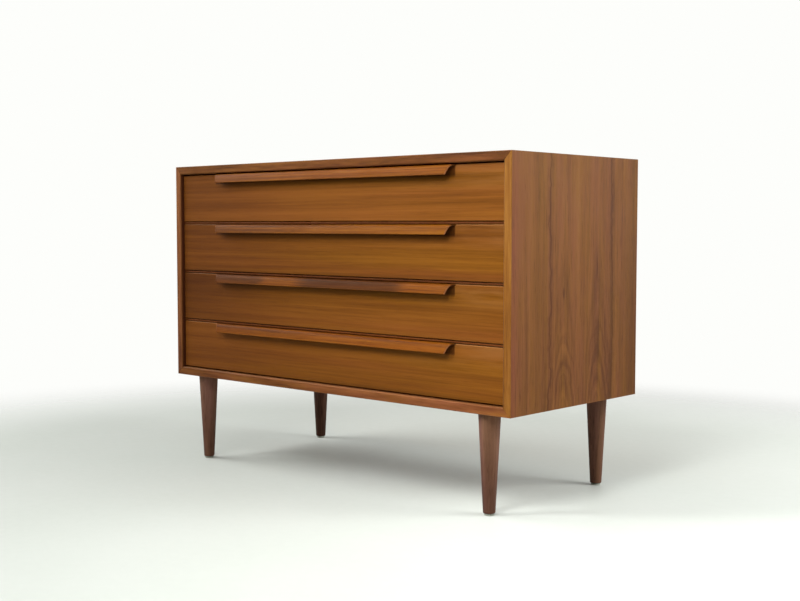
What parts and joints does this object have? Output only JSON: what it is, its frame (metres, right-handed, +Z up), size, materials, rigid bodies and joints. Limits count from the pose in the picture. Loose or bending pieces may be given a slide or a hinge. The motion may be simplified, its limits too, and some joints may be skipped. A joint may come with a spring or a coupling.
{
  "type": "dresser",
  "caption": "Low mid-century teak chest of full-width drawers with lip handles, a mitred case and round tapered legs",
  "frame": {"origin": "on the floor, under the middle of the whole object's bounding box", "axes": "+X along the front to the right of someone facing it, +Y from the front to the back, +Z up; the drawers open along -Y"},
  "size_m": [1.05, 0.4684, 0.729],
  "materials": {
    "teak_case": "oiled satin teak veneer, straight grain",
    "teak_front": "oiled satin teak, horizontal grain",
    "teak_handle": "oiled satin solid teak",
    "dark_leg": "dark stained, satin",
    "drawer_wood": "bare pale hardwood, sanded",
    "plywood": "bare plywood, matt",
    "steel": "zinc-plated thread",
    "brass": "plain turned",
    "glide": "satin nylon"
  },
  "bodies": {
    "carcass": {"side_panel_left": "teak_case", "side_panel_right": "teak_case", "top_panel": "teak_case", "bottom_panel": "teak_case", "divider_rail_1": "teak_case", "divider_rail_2": "teak_case", "divider_rail_3": "teak_case", "back_panel": "plywood", "runner_1_left": "drawer_wood", "runner_1_right": "drawer_wood", "runner_2_left": "drawer_wood", "runner_2_right": "drawer_wood", "runner_3_left": "drawer_wood", "runner_3_right": "drawer_wood", "runner_4_left": "drawer_wood", "runner_4_right": "drawer_wood", "leg_front_left": "dark_leg", "glide_front_left": "glide", "insert_front_left": "brass", "stud_front_left": "steel", "leg_front_right": "dark_leg", "glide_front_right": "glide", "insert_front_right": "brass", "stud_front_right": "steel", "leg_back_left": "dark_leg", "glide_back_left": "glide", "insert_back_left": "brass", "stud_back_left": "steel", "leg_back_right": "dark_leg", "glide_back_right": "glide", "insert_back_right": "brass", "stud_back_right": "steel"},
    "drawer_1": {"drawer_1_front": "teak_front", "drawer_1_handle": "teak_handle", "drawer_1_side_left": "drawer_wood", "drawer_1_side_right": "drawer_wood", "drawer_1_back": "drawer_wood", "drawer_1_bottom": "plywood"},
    "drawer_2": {"drawer_2_front": "teak_front", "drawer_2_handle": "teak_handle", "drawer_2_side_left": "drawer_wood", "drawer_2_side_right": "drawer_wood", "drawer_2_back": "drawer_wood", "drawer_2_bottom": "plywood"},
    "drawer_3": {"drawer_3_front": "teak_front", "drawer_3_handle": "teak_handle", "drawer_3_side_left": "drawer_wood", "drawer_3_side_right": "drawer_wood", "drawer_3_back": "drawer_wood", "drawer_3_bottom": "plywood"},
    "drawer_4": {"drawer_4_front": "teak_front", "drawer_4_handle": "teak_handle", "drawer_4_side_left": "drawer_wood", "drawer_4_side_right": "drawer_wood", "drawer_4_back": "drawer_wood", "drawer_4_bottom": "plywood"}
  },
  "joints": [
    {"name": "drawer_1_slide", "type": "slide", "parent": "carcass", "child": "drawer_1", "axis": [0, -1, 0], "range_m": [0, 0.3]},
    {"name": "drawer_2_slide", "type": "slide", "parent": "carcass", "child": "drawer_2", "axis": [0, -1, 0], "range_m": [0, 0.3]},
    {"name": "drawer_3_slide", "type": "slide", "parent": "carcass", "child": "drawer_3", "axis": [0, -1, 0], "range_m": [0, 0.3]},
    {"name": "drawer_4_slide", "type": "slide", "parent": "carcass", "child": "drawer_4", "axis": [0, -1, 0], "range_m": [0, 0.3]}
  ]
}
